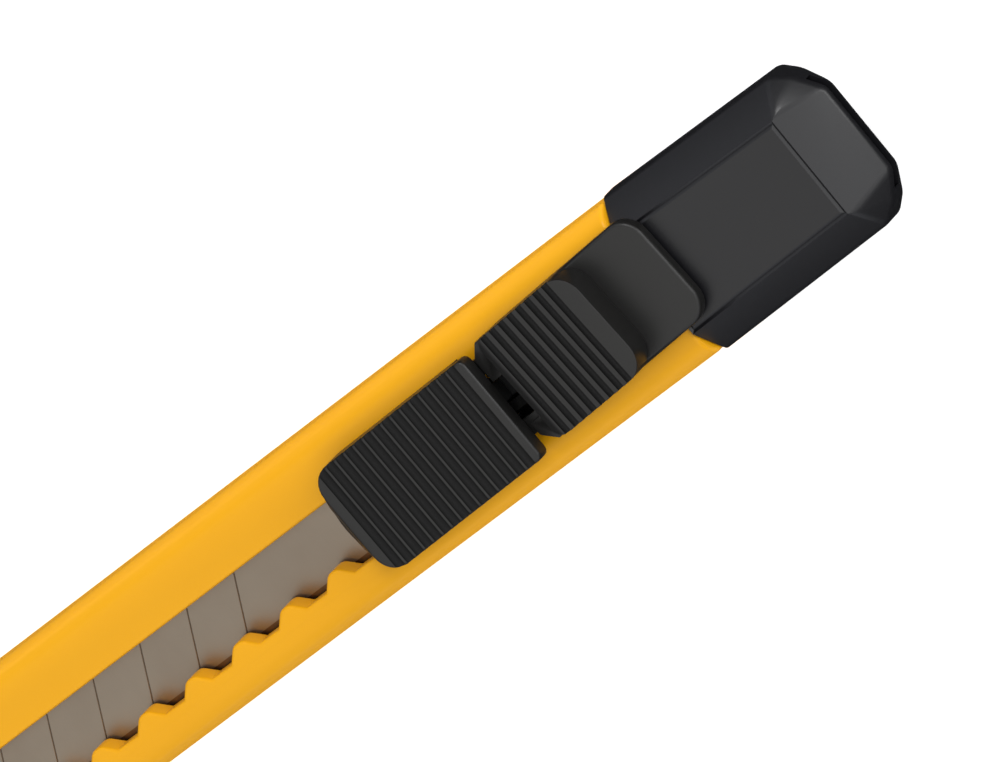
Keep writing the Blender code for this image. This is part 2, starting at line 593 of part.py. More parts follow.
def make_lock_slide():
    """The rear pad with its tail, the finger that blocks the spring and the foot that holds it down."""
    low_y, high_y = PAD_Y - PAD_WIDTH / 2, PAD_Y + PAD_WIDTH / 2
    plan = rounded_outline(TAIL_X, REAR_PAD_FRONT_X, low_y, high_y, TAIL_CORNER, PAD_CORNER / 2)
    shape = prism(plan, PAD_BOTTOM, REAR_PAD_TOP)
    pad = add_piece("lock_slide", shape, slider_abs, lock)
    tail_top = TAIL_BOTTOM + TAIL_THICKNESS
    front_top = PAD_BOTTOM + REAR_PAD_FRONT_HEIGHT
    crest_x = REAR_PAD_REAR_X + REAR_WALL_RUN
    first = REAR_PAD_FRONT_X - RIB_PITCH / 2
    last = first - REAR_PAD_RIBS * RIB_PITCH
    slope = (REAR_PAD_TOP - front_top) / (first - last)

    def crest(x):
        return front_top + (first - x) * slope

    side = [(REAR_PAD_FRONT_X + OVERCUT, PAD_BOTTOM - OVERCUT), (REAR_PAD_FRONT_X + OVERCUT, front_top - RIB_HEIGHT)]
    side += ribs(first, REAR_PAD_RIBS, lambda x: crest(x) - RIB_HEIGHT, crest)
    side += [(crest_x + RIB_HEIGHT, REAR_PAD_TOP), (crest_x, REAR_PAD_TOP - RIB_HEIGHT)]
    side += [(REAR_PAD_REAR_X, tail_top + RIB_HEIGHT), (REAR_PAD_REAR_X - RIB_HEIGHT, tail_top)]
    side += [(TAIL_X - OVERCUT, tail_top), (TAIL_X - OVERCUT, TAIL_BOTTOM)]
    step_x = JOINT_X + RUNNING_GAP
    side += [(step_x, TAIL_BOTTOM), (step_x, PAD_BOTTOM - OVERCUT)]
    profile = add_tool("lock_slide_side", prism(side, low_y - OVERCUT, high_y + OVERCUT, along="Y"))
    combine(pad, profile, "INTERSECT")
    for side_sign, name in ((-1, "left_groove"), (1, "right_groove")):
        outer = PAD_Y + side_sign * (RAIL_OUTER_HALF + RUNNING_GAP)
        inner = outer - side_sign * (RAIL_WIDTH + 2 * RUNNING_GAP)
        groove = box(
            (PAD_REAR_X - RAIL_LENGTH - LOCK_TRAVEL - RUNNING_GAP, min(outer, inner), PAD_BOTTOM - OVERCUT),
            (PAD_REAR_X, max(outer, inner), PAD_BOTTOM + RAIL_HEIGHT + RUNNING_GAP),
        )
        cut(pad, add_tool(name, groove))
    web_rear = max(REAR_PAD_REAR_X + 2 * REAR_WALL_RUN, SLOT_REAR_X + 2 * RUNNING_GAP)
    web_front = REAR_PAD_FRONT_X - RUNNING_GAP
    web_top = PAD_BOTTOM + RAIL_HEIGHT
    finger_top = LEAF_BOTTOM + LEAF_HEIGHT
    tongue = [
        (web_rear, BLADE_BOTTOM),
        (web_front - LOCK_TRAVEL, BLADE_BOTTOM),
        (web_front - LOCK_TRAVEL, LEAF_BOTTOM),
        (LOCK_FINGER_X, LEAF_BOTTOM),
        (LOCK_FINGER_X, finger_top),
        (web_front, finger_top),
        (web_front, web_top),
        (web_rear, web_top),
    ]
    web = prism(tongue, LOCK_TONGUE_Y, LOCK_TONGUE_Y + LOCK_TONGUE, along="Y")
    join(pad, add_tool("lock_tongue", web))
    foot_low = BLADE_BOTTOM + LOCK_FOOT_HEIGHT / 4
    foot_high_y = TOOTH_TOP_Y + TOOTH_HEIGHT + LOCK_FOOT_HOLD
    foot = box(
        (web_rear + LOCK_TONGUE, LOCK_TONGUE_Y + LOCK_TONGUE / 2, foot_low),
        (web_rear + LOCK_FOOT_LENGTH, foot_high_y, foot_low + LOCK_FOOT_HEIGHT),
    )
    join(pad, add_tool("lock_foot", foot))


def cap_form():
    """The faceted cap: the hull of its flat top and back, and of the rims above and below its side wall."""
    half = HALF_WIDTH + CAP_PROUD
    rim_top, side_low = CAP_TOP - CAP_BEVEL_DROP, CAP_UNDER_DROP
    rear_low = rim_top - CAP_REAR_WALL
    flat_half, flat_rear = half - CAP_SIDE_BEVEL, REAR_X + CAP_REAR_BEVEL
    rear_half = half - CAP_TAPER
    points = []
    for sign in (-1, 1):
        for x in (JOINT_X, flat_rear):
            points += [(x, sign * flat_half, CAP_TOP), (x, sign * flat_half, 0)]
        points += [(JOINT_X, sign * half, rim_top), (JOINT_X, sign * half, side_low)]
        corner = [
            (REAR_X + CAP_CHAMFER, rear_half),
            (REAR_X + CAP_CORNER_RUN, rear_half - CAP_CORNER_INSET),
            (REAR_X, rear_half - CAP_CHAMFER),
        ]
        lows = (side_low, (side_low + rear_low) / 2, rear_low)
        for (x, y), low in zip(corner, lows):
            points += [(x, sign * y, rim_top), (x, sign * y, low)]
    shape = bmesh.new()
    for point in points:
        shape.verts.new(point)
    bmesh.ops.convex_hull(shape, input=shape.verts)
    bmesh.ops.dissolve_limit(
        shape, angle_limit=math.radians(1), verts=shape.verts, edges=shape.edges
    )
    return shape


def make_cap():
    shape = cap_form()
    bmesh.ops.recalc_face_normals(shape, faces=shape.faces)
    rims = [edge for edge in shape.edges if all(v.co.x < JOINT_X - CAP_EDGE_RADIUS for v in edge.verts)]
    bmesh.ops.bevel(
        shape, geom=rims, offset=CAP_EDGE_RADIUS, segments=2, profile=0.5, affect="EDGES", clamp_overlap=True
    )
    end_cap = add_piece("end_cap", shape, cap_abs, cap)
    reach = SPIGOT_WALL - SEAM_GAP
    cavity = box(
        (JOINT_X - SPIGOT_LENGTH - SEAM_GAP, reach - HALF_WIDTH, reach),
        (JOINT_X + OVERCUT, HALF_WIDTH - reach, HANDLE_THICKNESS - reach),
    )
    cut(end_cap, add_tool("spigot_socket", cavity))
    slit_middle = CAP_TOP - CAP_BEVEL_DROP - CAP_REAR_WALL / 2
    slit = box(
        (REAR_X - OVERCUT, -SLIT_WIDTH / 2, slit_middle - SLIT_HEIGHT / 2),
        (REAR_X + SLIT_DEPTH, SLIT_WIDTH / 2, slit_middle + SLIT_HEIGHT / 2),
    )
    cut(end_cap, add_tool("snapping_slit", slit))


clear_scene()
parts = new_collection("utility_knife")
cutters = new_collection("cutters")
handle = add_frame("handle_frame", (0, 0, 0))
slider = add_frame("slider_frame", (PAD_FRONT_X, PAD_Y, PAD_BOTTOM))
lock = add_frame("lock_frame", (REAR_PAD_FRONT_X, PAD_Y, PAD_BOTTOM))
lock.parent = slider
lock.location = (REAR_PAD_FRONT_X - PAD_FRONT_X, 0, 0)
cap = add_frame("cap_frame", (JOINT_X, 0, HANDLE_THICKNESS / 2))
for each in (slider, cap):
    each.parent = handle
bpy.context.view_layer.update()
yellow_abs = new_material("yellow_abs", (0.84, 0.40, 0.012), 0.35)
slider_abs = new_material("black_slider_abs", (0.022, 0.021, 0.02), 0.45)
cap_abs = new_material("black_cap_abs", (0.024, 0.024, 0.028), 0.4)
blade_steel = new_material("ground_blade_steel", (0.35, 0.34, 0.33), 0.35, 1.0)
stainless = new_material("stainless_steel", (0.5, 0.49, 0.47), 0.3, 1.0)
spring_steel = new_material("spring_steel", (0.4, 0.39, 0.38), 0.3, 1.0)
carriage_pom = new_material("black_acetal", (0.03, 0.03, 0.03), 0.5)
make_casing()
make_sheath()
make_blade()
make_holder()
make_spring()
make_thumb_pad()
make_lock_slide()
make_cap()
for piece in parts.objects:
    if piece.type == "MESH":
        piece.data.set_sharp_from_angle(angle=math.radians(30))
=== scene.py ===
"""Snap-off utility knife lying on its back, seen from above and from behind its end cap."""

import math

import bmesh
import bpy
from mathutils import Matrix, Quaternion, Vector


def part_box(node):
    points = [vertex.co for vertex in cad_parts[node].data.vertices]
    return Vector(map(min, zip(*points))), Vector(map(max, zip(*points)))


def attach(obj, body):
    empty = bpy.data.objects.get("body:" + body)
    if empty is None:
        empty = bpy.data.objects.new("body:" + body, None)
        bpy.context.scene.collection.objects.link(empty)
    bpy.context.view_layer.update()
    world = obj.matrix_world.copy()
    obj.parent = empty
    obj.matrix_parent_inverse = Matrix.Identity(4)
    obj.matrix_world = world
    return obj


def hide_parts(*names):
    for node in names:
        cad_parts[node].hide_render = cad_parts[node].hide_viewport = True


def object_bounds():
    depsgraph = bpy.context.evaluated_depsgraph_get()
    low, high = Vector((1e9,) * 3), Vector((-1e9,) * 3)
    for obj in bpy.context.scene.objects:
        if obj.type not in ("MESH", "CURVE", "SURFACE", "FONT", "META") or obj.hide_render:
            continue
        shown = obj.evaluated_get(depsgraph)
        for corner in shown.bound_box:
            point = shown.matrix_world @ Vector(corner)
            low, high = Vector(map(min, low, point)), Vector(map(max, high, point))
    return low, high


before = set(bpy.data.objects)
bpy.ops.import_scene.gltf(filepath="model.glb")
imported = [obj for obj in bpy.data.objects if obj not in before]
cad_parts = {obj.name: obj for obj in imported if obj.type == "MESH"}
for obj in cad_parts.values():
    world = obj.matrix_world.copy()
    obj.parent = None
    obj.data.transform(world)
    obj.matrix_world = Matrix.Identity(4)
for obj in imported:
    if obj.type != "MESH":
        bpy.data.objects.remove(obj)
cad_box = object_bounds()
MM = 0.001

# ---------------------------------------------------------------------------------------------
# Camera: a long lens far back, behind the end cap and 30 degrees off the vertical. The handle
# climbs across the picture from the lower left to the upper right.
joint_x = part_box("end_cap")[1].x
handle_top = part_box("front_shell")[1].z
CAMERA_AWAY = 900 * MM
CAMERA_TILT = math.radians(30.0)
CAMERA_LEAN = math.radians(4.0)
HANDLE_HEADING = math.radians(217.1)  # the way to the nose in the picture, from the picture's right
AIM_PAST_JOINT = 14.66 * MM
AIM_ASIDE = -1.14 * MM
FOCAL_LENGTH = 457.8  # in millimetres, as a lens is marked
SENSOR_WIDTH = 36  # in millimetres
camera_target = Vector((joint_x + AIM_PAST_JOINT, AIM_ASIDE, handle_top))
camera_back = Vector(
    (
        -math.sin(CAMERA_TILT) * math.cos(CAMERA_LEAN),
        -math.sin(CAMERA_LEAN),
        math.cos(CAMERA_TILT) * math.cos(CAMERA_LEAN),
    )
)
level = camera_back.to_track_quat("Z", "Y")
to_nose = level.inverted() @ Vector((1, 0, 0))
roll = math.atan2(to_nose.y, to_nose.x) - HANDLE_HEADING
lens = bpy.data.cameras.new("camera")
lens.lens = FOCAL_LENGTH
lens.sensor_width = SENSOR_WIDTH
lens.clip_start = 50 * MM
lens.clip_end = 30
camera = bpy.data.objects.new("camera", lens)
camera.rotation_mode = "QUATERNION"
camera.rotation_quaternion = level @ Quaternion((0, 0, 1), roll)
camera.location = camera_target + camera_back * CAMERA_AWAY
bpy.context.scene.collection.objects.link(camera)
bpy.context.scene.camera = camera

# ---------------------------------------------------------------------------------------------
# Floor and light: a white table under broad softboxes, in a room that is dark below the table.
# Colours are shown as they are, without a film curve.
bpy.context.scene.view_settings.view_transform = "Standard"
FLOOR_SIZE = 8.0


def srgb(code):
    """A hex colour as the linear numbers that a shader takes."""
    shares = [int(code[i : i + 2], 16) / 255 for i in (1, 3, 5)]
    return (*[c / 12.92 if c <= 0.04045 else ((c + 0.055) / 1.055) ** 2.4 for c in shares], 1.0)


def add_node(tree, kind, inputs=(), **settings):
    """A node with its settings, and its inputs as values or as sockets of other nodes."""
    node = tree.nodes.new(kind)
    for name, value in settings.items():
        setattr(node, name, value)
    for name, value in dict(inputs).items():
        if isinstance(value, bpy.types.NodeSocket):
            tree.links.new(value, node.inputs[name])
        else:
            node.inputs[name].default_value = value
    return node


def new_material(name):
    """An empty material, its node tree and the output of Object coordinates."""
    material = bpy.data.materials.new(name)
    material.use_nodes = True
    material.node_tree.nodes.clear()
    place = add_node(material.node_tree, "ShaderNodeTexCoord").outputs["Object"]
    return material, material.node_tree, place


def finish_material(tree, shader):
    add_node(tree, "ShaderNodeOutputMaterial", {"Surface": shader.outputs["BSDF"]})


# White laminate: a smooth matt sheet, bright enough to lose the table's edge and most shadow. It
# is kept out of reflections, so that the walls of the black pieces stay dark down to the table.
laminate, tree, place = new_material("white_matt_laminate")
LAMINATE_GRAIN = 1.2 * MM
grain = add_node(tree, "ShaderNodeTexNoise", {"Vector": place, "Scale": 1 / LAMINATE_GRAIN, "Detail": 2.0})
tone = add_node(tree, "ShaderNodeValToRGB", {"Fac": grain.outputs["Fac"]})
tone.color_ramp.elements[0].color = srgb("#F7F7F7")
tone.color_ramp.elements[1].color = srgb("#FDFDFD")
white = add_node(
    tree,
    "ShaderNodeBsdfPrincipled",
    {
        "Base Color": tone.outputs["Color"],
        "Roughness": 0.8,
        "Specular IOR Level": 0.2,
        "Emission Color": srgb("#FFFFFF"),
        "Emission Strength": 0.6,
    },
)
finish_material(tree, white)
bpy.ops.object.select_all(action="DESELECT")
bpy.ops.mesh.primitive_plane_add(size=FLOOR_SIZE, location=(0, 0, cad_box[0].z))
floor = bpy.context.object
floor.name = "floor"
floor.data.materials.append(laminate)
floor.visible_glossy = False

# The room: an even pale ceiling that falls off to a dark ground.
world = bpy.data.worlds.new("room")
bpy.context.scene.world = world
world.use_nodes = True
room = world.node_tree
direction = add_node(room, "ShaderNodeTexCoord").outputs["Generated"]
height = add_node(room, "ShaderNodeSeparateXYZ", {"Vector": direction}).outputs["Z"]
glow = add_node(
    room,
    "ShaderNodeMapRange",
    {"Value": height, "From Min": -0.15, "From Max": 0.7, "To Min": 0.02, "To Max": 0.46},
)
room.nodes["Background"].inputs["Color"].default_value = srgb("#F4F5F7")
room.links.new(glow.outputs["Result"], room.nodes["Background"].inputs["Strength"])


def add_softbox(name, place, aim, size, power, tint):
    light = bpy.data.lights.new(name, "AREA")
    light.shape = "RECTANGLE"
    light.size, light.size_y = size
    light.energy = power
    light.color = srgb(tint)[:3]
    lamp = bpy.data.objects.new(name, light)
    lamp.location = place
    lamp.rotation_euler = (Vector(place) - Vector(aim)).to_track_quat("Z", "Y").to_euler()
    bpy.context.scene.collection.objects.link(lamp)


handle_middle = Vector((joint_x, 0, handle_top))
softboxes = {
    "overhead_softbox": ((0.55, 0.08, 0.95), (1.2, 1.2), 2.3, "#FFFCF6"),
    "rear_softbox": ((-0.57, 0.08, 0.94), (0.8, 0.8), 2.4, "#FFFFFF"),
    "corner_softbox": ((-0.38, -0.72, 0.62), (0.3, 0.3), 3.2, "#FFFFFF"),
    "side_softbox": ((0.0, 0.7, 0.9), (0.5, 0.5), 0.7, "#F6F9FF"),
    "end_softbox": ((-0.95, -0.12, 0.42), (0.45, 0.45), 3.0, "#FFFFFF"),
    "left_fill": ((0.5, 0.9, 0.3), (1.0, 0.6), 1.1, "#F2F5FF"),
    "right_fill": ((0.5, -0.9, 0.3), (1.0, 0.6), 0.9, "#F2F5FF"),
}
for name, (away, size, power, tint) in softboxes.items():
    add_softbox(name, handle_middle + Vector(away), handle_middle, size, power, tint)

# ---------------------------------------------------------------------------------------------
# Casing: two halves moulded in yellow ABS and closed on a seam along their sides. The front
# half holds the slot, whose teeth give the slider its clicks, and both end in the cap's spigot.
front_low, front_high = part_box("front_shell")
back_low, back_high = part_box("back_shell")
blade_low, blade_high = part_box("snap_off_blade")
cap_low, cap_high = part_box("end_cap")
pad_low, pad_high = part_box("thumb_pad")
SHOULDER = 1.95 * MM
NOSE_TAPER = Vector((10.0, 0.6)) * MM
NOSE_SLOPE = Vector((6.0, 0.6)) * MM
REAR_EDGE = 0.35 * MM
SPIGOT_INSET = 2.0 * MM
SPIGOT_WALL = 1.0 * MM
SPIGOT_EDGE = 0.3 * MM
OVERCUT = 1 * MM  # how far a cutting block reaches past what it cuts
RUNNING_GAP = 0.3 * MM
SEAM_GAP = 0.2 * MM
LIP = 1.75 * MM
CARRIAGE = Vector((6.95, 1.7)) * MM
PITCH = 5.0 * MM
TOOTH_TOP = 0.85 * MM
TOOTH_HEIGHT = 1.0 * MM
FRONT_FLANK = 1.05 * MM
REAR_FLANK = 1.1 * MM
TOOTH_ROUND = 0.3 * MM
SLOT_ROUND = 0.24 * MM
SLOT_STRAIGHT_IN = 2.65 * MM
TOOTH_IN = 2.13 * MM
FIRST_TOOTH = 8.9 * MM
SLOT_REAR = 1.4 * MM
SLOT_RUN = 61.0 * MM
SLOT_OVERCUT = 0.5 * MM
CAP_SEAT = 0.1 * MM
half_width = front_high.y
roof = front_high.z - LIP
ledge = front_low.z - SEAM_GAP
straight_y = blade_low.y + SLOT_STRAIGHT_IN
tooth_y = blade_high.y - TOOTH_IN
valley_y = tooth_y + TOOTH_HEIGHT
first_tooth_x = blade_low.x + FIRST_TOOTH
slot_rear_x = joint_x + SLOT_REAR
slot_front_x = pad_high.x + SLOT_RUN
shoulder_x = joint_x + CAP_SEAT


def add_block(name, low, high):
    """A box between two corners, with its place in its mesh."""
    low, high = Vector(low), Vector(high)
    bpy.ops.object.select_all(action="DESELECT")
    bpy.ops.mesh.primitive_cube_add(size=1, location=(low + high) / 2)
    block = bpy.context.object
    block.name = block.data.name = name
    block.scale = high - low
    bpy.ops.object.transform_apply(location=True, rotation=True, scale=True)
    return block


def pick(thing, kind, test):
    """Opens a piece in edit mode with only the vertices, edges or faces that pass a test selected."""
    bpy.context.view_layer.objects.active = thing
    bpy.ops.object.mode_set(mode="EDIT")
    bpy.ops.mesh.select_mode(type=kind)
    bpy.ops.mesh.select_all(action="DESELECT")
    mesh = bmesh.from_edit_mesh(thing.data)
    mesh.normal_update()
    group = {"VERT": mesh.verts, "EDGE": mesh.edges, "FACE": mesh.faces}[kind]
    for element in group:
        element.select_set(bool(test(element)))
    mesh.select_flush_mode()
    bmesh.update_edit_mesh(thing.data)


def close_edit():
    bpy.ops.object.mode_set(mode="OBJECT")


def round_edges(thing, test, radius, segments):
    """Rounds the edges whose two ends pass a test."""
    pick(thing, "EDGE", lambda edge: test(edge.verts[0].co, edge.verts[1].co))
    bpy.ops.mesh.bevel(offset=radius, segments=segments, profile=0.5, affect="EDGES", clamp_overlap=True)
    close_edit()


def move(thing, test, step):
    """Moves the vertices that pass a test."""
    pick(thing, "VERT", lambda vert: test(vert.co))
    bpy.ops.transform.translate(value=step)
    close_edit()


def slice_at(thing, point, normal, remove=True):
    """Cuts a piece with a plane. The side that the normal points to goes, and the cut is closed."""
    pick(thing, "FACE", lambda face: True)
    bpy.ops.mesh.bisect(plane_co=point, plane_no=normal, use_fill=remove, clear_outer=remove, threshold=1e-6)
    close_edit()


def apply_all(thing):
    bpy.ops.object.select_all(action="DESELECT")
    thing.select_set(True)
    bpy.context.view_layer.objects.active = thing
    for modifier in list(thing.modifiers):
        bpy.ops.object.modifier_apply(modifier=modifier.name)


def combine(thing, tool, operation="DIFFERENCE"):
    """Cuts a tool from a piece, or joins it to the piece, and removes the tool."""
    modifier = thing.modifiers.new(tool.name, "BOOLEAN")
    modifier.object = tool
    modifier.operation = operation
    modifier.solver = "EXACT"
    modifier.material_mode = "TRANSFER" if tool.data.materials else "INDEX"
    apply_all(thing)
    bpy.data.objects.remove(tool)


def smooth(thing, degrees=35):
    bpy.ops.object.select_all(action="DESELECT")
    thing.select_set(True)
    bpy.context.view_layer.objects.active = thing
    bpy.ops.object.shade_smooth_by_angle(angle=math.radians(degrees))


def copy_of(thing, name):
    bpy.ops.object.select_all(action="DESELECT")
    thing.select_set(True)
    bpy.context.view_layer.objects.active = thing
    bpy.ops.object.duplicate()
    copy = bpy.context.object
    copy.name = copy.data.name = name
    return copy


def near(a, b, reach=0.02 * MM):
    return abs(a - b) < reach


casing = add_block("casing", (shoulder_x, -half_width, 0), (front_high.x, half_width, handle_top))
round_edges(casing, lambda a, b: not near(a.x, b.x), SHOULDER, 10)
slice_at(
    casing, (front_high.x, NOSE_TAPER.y - half_width, 0), (NOSE_TAPER.y, -NOSE_TAPER.x, 0)
)
slice_at(casing, (front_high.x, 0, handle_top - NOSE_SLOPE.y), (NOSE_SLOPE.y, 0, NOSE_SLOPE.x))
round_edges(casing, lambda a, b: near(a.x, shoulder_x) and near(b.x, shoulder_x), REAR_EDGE, 4)
spigot_half = half_width - SPIGOT_INSET
spigot = add_block(
    "spigot",
    (front_low.x, -spigot_half, SPIGOT_INSET),
    (shoulder_x + RUNNING_GAP, spigot_half, handle_top - SPIGOT_INSET),
)
round_edges(spigot, lambda a, b: not near(a.x, b.x), SPIGOT_EDGE, 3)
combine(casing, spigot, "UNION")
back = copy_of(casing, "casing_back_half")
slice_at(casing, (0, 0, front_low.z), (0, 0, -1))
slice_at(back, (0, 0, ledge), (0, 0, 1))
front = casing
front.name = front.data.name = "casing_front_half"

# The blade's channel, the carriage's deeper one, and the pocket that holds the steel nose.
past_nose = front_high.x + OVERCUT
channel_low = (slot_rear_x, blade_low.y - RUNNING_GAP, ledge - OVERCUT)
channel_high = (past_nose, blade_high.y + RUNNING_GAP, roof)
combine(front, add_block("blade_channel", channel_low, channel_high))
blade_middle = (blade_low.y + blade_high.y) / 2
carriage_low = (slot_rear_x, blade_middle - CARRIAGE.x / 2, ledge - CARRIAGE.y)
carriage_high = (slot_front_x + RUNNING_GAP, blade_middle + CARRIAGE.x / 2, roof)
combine(back, add_block("carriage_channel", carriage_low, carriage_high))
sheath_low, sheath_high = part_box("nose_sheath")
POCKET_GAP = 0.2 * MM
margin = Vector((POCKET_GAP,) * 3)
for shell in (front, back):
    pocket_high = Vector((past_nose, sheath_high.y + POCKET_GAP, sheath_high.z + POCKET_GAP))
    combine(shell, add_block("sheath_pocket", sheath_low - margin, pocket_high))
core = spigot_half - SPIGOT_WALL
combine(
    back,
    add_block(
        "spigot_core",
        (back_low.x - OVERCUT, -core, SPIGOT_INSET + SPIGOT_WALL),
        (joint_x - SPIGOT_WALL, core, ledge + OVERCUT),
    ),
)

# The slot: one straight side and a row of rounded teeth, cut through the lip in one go.
under, over = roof - SLOT_OVERCUT, handle_top + SLOT_OVERCUT
slot = add_block("slot", (slot_rear_x, straight_y, under), (slot_front_x, valley_y, over))
tooth = add_block(
    "tooth",
    (first_tooth_x - TOOTH_TOP / 2, tooth_y, under - OVERCUT),
    (first_tooth_x + TOOTH_TOP / 2, valley_y, over + OVERCUT),
)
move(tooth, lambda at: near(at.y, valley_y) and at.x > first_tooth_x, (FRONT_FLANK, 0, 0))
move(tooth, lambda at: near(at.y, valley_y) and at.x < first_tooth_x, (-REAR_FLANK, 0, 0))
round_edges(tooth, lambda a, b: near(a.y, tooth_y) and near(a.x, b.x) and near(b.y, tooth_y), TOOTH_ROUND, 4)
pick(tooth, "FACE", lambda face: face.normal.y > 0.9)
bpy.ops.mesh.extrude_region_move(TRANSFORM_OT_translate={"value": (0, 0.5 * MM, 0)})
close_edit()
tooth_count = math.floor((slot_front_x - first_tooth_x - PITCH / 2) / PITCH) + 1
behind = math.floor((first_tooth_x - slot_rear_x - PITCH / 2) / PITCH)
move(tooth, lambda at: True, (-behind * PITCH, 0, 0))
row = tooth.modifiers.new("row", "ARRAY")
row.count = tooth_count + behind
row.use_relative_offset = False
row.use_constant_offset = True
row.constant_offset_displace = (PITCH, 0, 0)
apply_all(tooth)
combine(slot, tooth)
combine(front, slot)


def on_slot_rim(at):
    """True at a point of the outer face that lies on the slot's outline."""
    if not near(at.z, handle_top):
        return False
    slack = 0.01 * MM
    return straight_y - slack < at.y < valley_y + slack and slot_rear_x - slack < at.x < slot_front_x + slack


round_edges(front, lambda a, b: on_slot_rim(a) and on_slot_rim(b), SLOT_ROUND, 3)

# ABS: glossy yellow moulding compound, softened by a fine spark-eroded texture in the tool.
yellow_abs, tree, place = new_material("yellow_moulded_abs")
TEXTURE_GRAIN = 0.22 * MM
FLOW = 14.0 * MM
grain = add_node(tree, "ShaderNodeTexNoise", {"Vector": place, "Scale": 1 / TEXTURE_GRAIN, "Detail": 3.0})
flow = add_node(tree, "ShaderNodeTexNoise", {"Vector": place, "Scale": 1 / FLOW, "Detail": 2.0})
tone = add_node(tree, "ShaderNodeValToRGB", {"Fac": flow.outputs["Fac"]})
tone.color_ramp.elements[0].position = 0.3
tone.color_ramp.elements[0].color = srgb("#F5AE12")
tone.color_ramp.elements[1].position = 0.7
tone.color_ramp.elements[1].color = srgb("#F7B115")
gloss = add_node(
    tree, "ShaderNodeMapRange", {"Value": grain.outputs["Fac"], "To Min": 0.27, "To Max": 0.36}
)
relief = add_node(
    tree, "ShaderNodeBump", {"Height": grain.outputs["Fac"], "Strength": 0.12, "Distance": 0.01 * MM}
)
shader = add_node(
    tree,
    "ShaderNodeBsdfPrincipled",
    {
        "Base Color": tone.outputs["Color"],
        "Roughness": gloss.outputs["Result"],
        "IOR": 1.53,
        "Specular IOR Level": 0.22,
        "Normal": relief.outputs["Normal"],
    },
)
finish_material(tree, shader)
for shell, node in ((front, "front_shell"), (back, "back_shell")):
    smooth(shell)
    shell.data.materials.append(yellow_abs)
    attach(shell, "handle")
    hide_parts(node)

# ---------------------------------------------------------------------------------------------
# Blade: one strip of hardened carbon steel, ground to a bevel along its edge and scored across
# at 60 degrees every 5 mm, so that a worn segment snaps off. It hangs on the holder's peg.
GRIND = 1.55 * MM
EDGE_SHARE = 0.15
SCORE_HALF = 0.065 * MM
SCORE_DEPTH = 0.075 * MM
SCORES = 12
EDGE_MARGIN = 0.1 * MM
PEG_HOLE_RADIUS = 1.0 * MM
PEG_HOLE_DEPTH = 3 * MM
SLANT = math.radians(60)
along_score = Vector((math.sin(SLANT), -math.cos(SLANT), 0))
blade = add_block("segmented_blade", blade_low, blade_high)
slice_at(blade, (blade_high.x, blade_high.y, 0), along_score)
grind_y = blade_high.y - GRIND
slice_at(blade, (0, grind_y, 0), (0, 1, 0), remove=False)
blade_centre = (blade_low + blade_high) / 2
pick(blade, "VERT", lambda vert: near(vert.co.y, blade_high.y))
bpy.ops.transform.resize(value=(1, 1, EDGE_SHARE), center_override=blade_centre)
close_edit()
for score in range(1, SCORES + 1):
    on_score = Vector((blade_high.x - score * PITCH, blade_high.y, 0))
    for aside in (-SCORE_HALF, 0, SCORE_HALF):
        slice_at(blade, on_score + along_score * aside, along_score, remove=False)
    move(
        blade,
        lambda at: near((at - on_score).dot(along_score), 0)
        and at.z > blade_centre.z
        and at.y < blade_high.y - EDGE_MARGIN,
        (0, 0, -SCORE_DEPTH),
    )
peg_low, peg_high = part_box("blade_peg")
peg_middle = (peg_low + peg_high) / 2
bpy.ops.object.select_all(action="DESELECT")
bpy.ops.mesh.primitive_cylinder_add(
    vertices=32, radius=PEG_HOLE_RADIUS, depth=PEG_HOLE_DEPTH, location=peg_middle
)
hole = bpy.context.object
hole.name = "peg_hole"
bpy.ops.object.transform_apply(location=True, rotation=True, scale=True)
combine(blade, hole)

# Carbon steel: a grey, slightly warm metal with the fine cross scratches of the grinding belt.
# The bevel is painted a darker brown, as painted shade and a painted reflection of the yellow casing.
blade_steel, tree, place = new_material("belt_ground_carbon_steel")
SCRATCH = 0.05 * MM
STAIN = 6.0 * MM
turned = add_node(tree, "ShaderNodeMapping", {"Vector": place, "Scale": (1.0, 0.03, 1.0)})
scratches = add_node(
    tree, "ShaderNodeTexNoise", {"Vector": turned.outputs["Vector"], "Scale": 1 / SCRATCH, "Detail": 4.0}
)
stains = add_node(tree, "ShaderNodeTexNoise", {"Vector": place, "Scale": 1 / STAIN, "Detail": 3.0})
tone = add_node(tree, "ShaderNodeValToRGB", {"Fac": stains.outputs["Fac"]})
tone.color_ramp.elements[0].position = 0.3
tone.color_ramp.elements[0].color = srgb("#918577")
tone.color_ramp.elements[1].position = 0.75
tone.color_ramp.elements[1].color = srgb("#978C7E")
across = add_node(tree, "ShaderNodeSeparateXYZ", {"Vector": place}).outputs["Y"]
# Painted shade and painted reflection: past the grind line the bevel is mixed to a darker brown.
ground = add_node(
    tree, "ShaderNodeMapRange", {"Value": across, "From Min": grind_y, "From Max": grind_y + SCRATCH}
)
steel = add_node(
    tree,
    "ShaderNodeMixRGB",
    {"Fac": ground.outputs["Result"], "Color1": tone.outputs["Color"], "Color2": srgb("#6E5A45")},
)
gloss = add_node(
    tree, "ShaderNodeMapRange", {"Value": scratches.outputs["Fac"], "To Min": 0.32, "To Max": 0.46}
)
relief = add_node(
    tree, "ShaderNodeBump", {"Height": scratches.outputs["Fac"], "Strength": 0.15, "Distance": 0.004 * MM}
)
shader = add_node(
    tree,
    "ShaderNodeBsdfPrincipled",
    {
        "Base Color": steel.outputs["Color"],
        "Metallic": 1.0,
        "Roughness": gloss.outputs["Result"],
        "Normal": relief.outputs["Normal"],
    },
)
finish_material(tree, shader)
smooth(blade, 12)
blade.data.materials.append(blade_steel)
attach(blade, "slider")
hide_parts("snap_off_blade")

